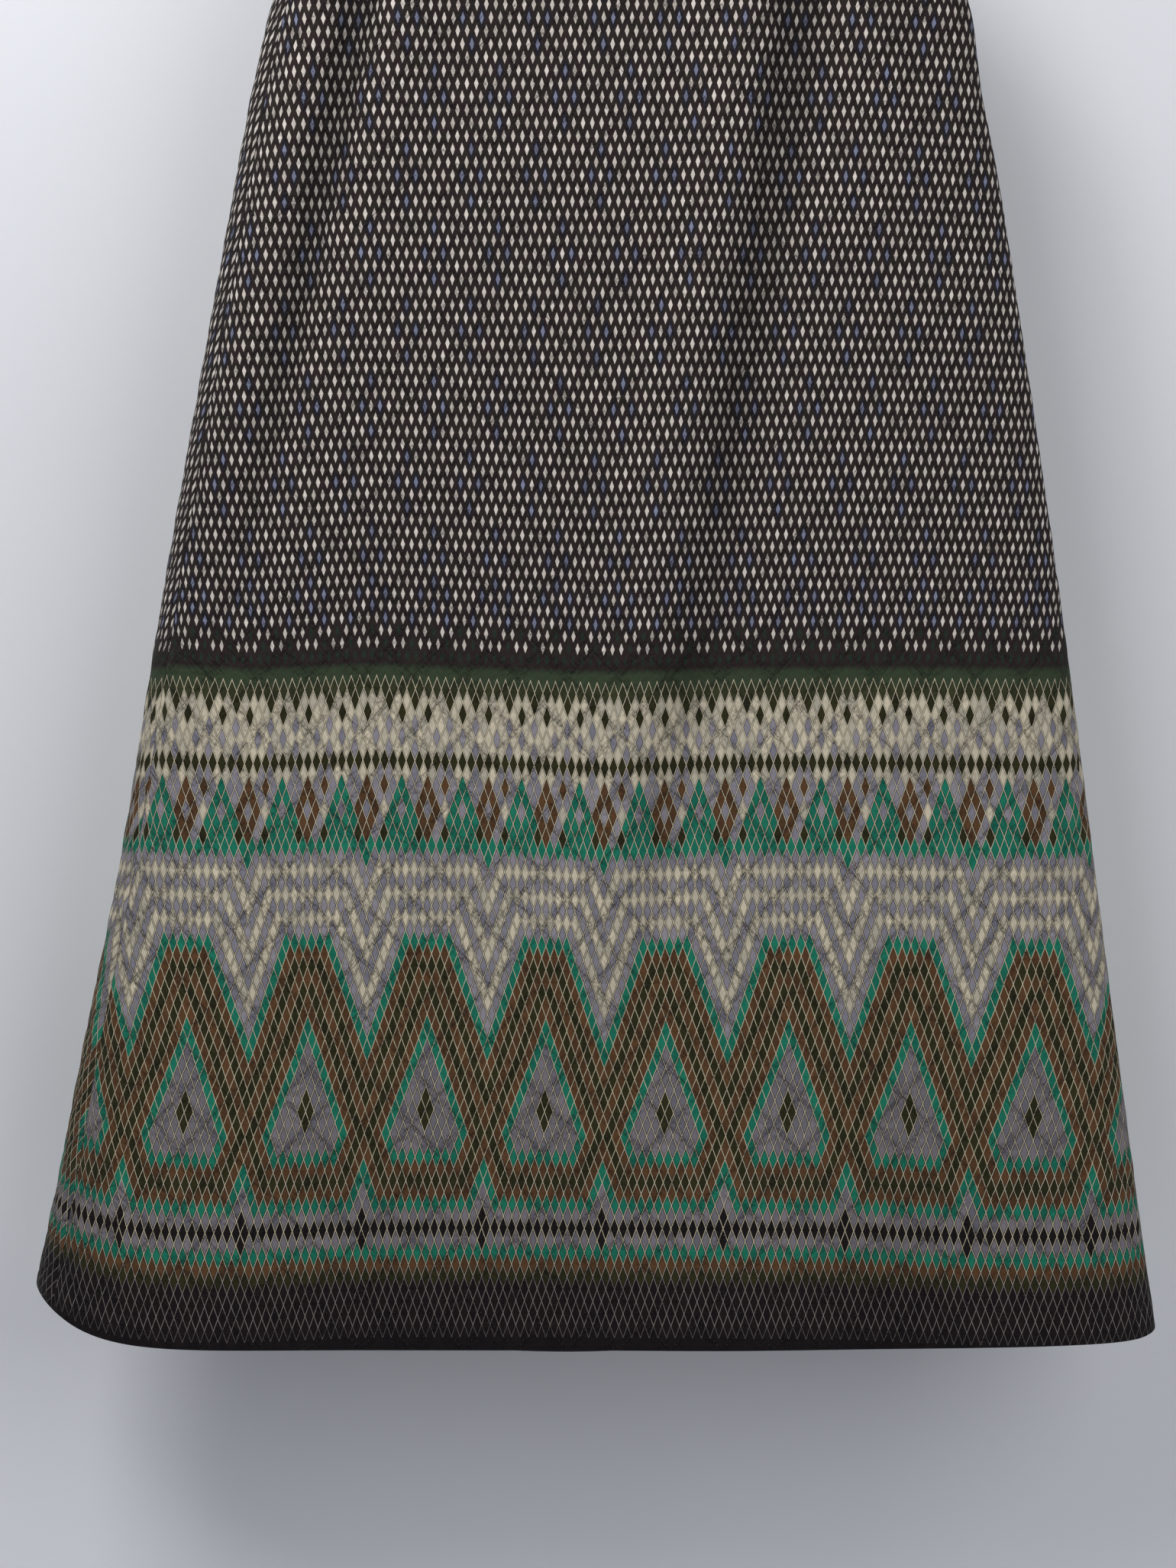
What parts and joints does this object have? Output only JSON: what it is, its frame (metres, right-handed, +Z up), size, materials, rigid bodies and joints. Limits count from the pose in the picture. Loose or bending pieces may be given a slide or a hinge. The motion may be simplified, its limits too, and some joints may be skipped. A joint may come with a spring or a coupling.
{
  "type": "quilted maxi skirt",
  "caption": "Long flared skirt of quilted cloth with a bargello-like border print, a lapped waistband and a back zip.",
  "frame": {"origin": "centre of the waist, level with the top edge of the waistband", "axes": "+Z up, the front faces -Y, +X to the right of someone facing the skirt"},
  "size_m": [0.7607, 0.1311, 1.059],
  "materials": {
    "print_cloth": "matt printed cotton over thin wadding, quilted in diamonds with dark thread",
    "black_cloth": "matt plain black cotton",
    "zip_tape": "woven black tape with a fine metal chain",
    "zip_metal": "worn nickel",
    "button": "satin black"
  },
  "bodies": {
    "skirt": {"front_panel": "print_cloth", "back_left_panel": "print_cloth", "back_right_panel": "print_cloth", "waistband": "black_cloth", "zip_tape": "zip_tape", "zip_slider": "zip_metal", "waist_button": "button"},
    "pull": {"zip_pull": "zip_metal"}
  },
  "joints": [
    {"name": "pull_swing", "type": "hinge", "parent": "skirt", "child": "pull", "pos_m": [0, 0.03546, -0.03827], "axis": [1, 0, 0], "range_deg": [0, 150]}
  ]
}
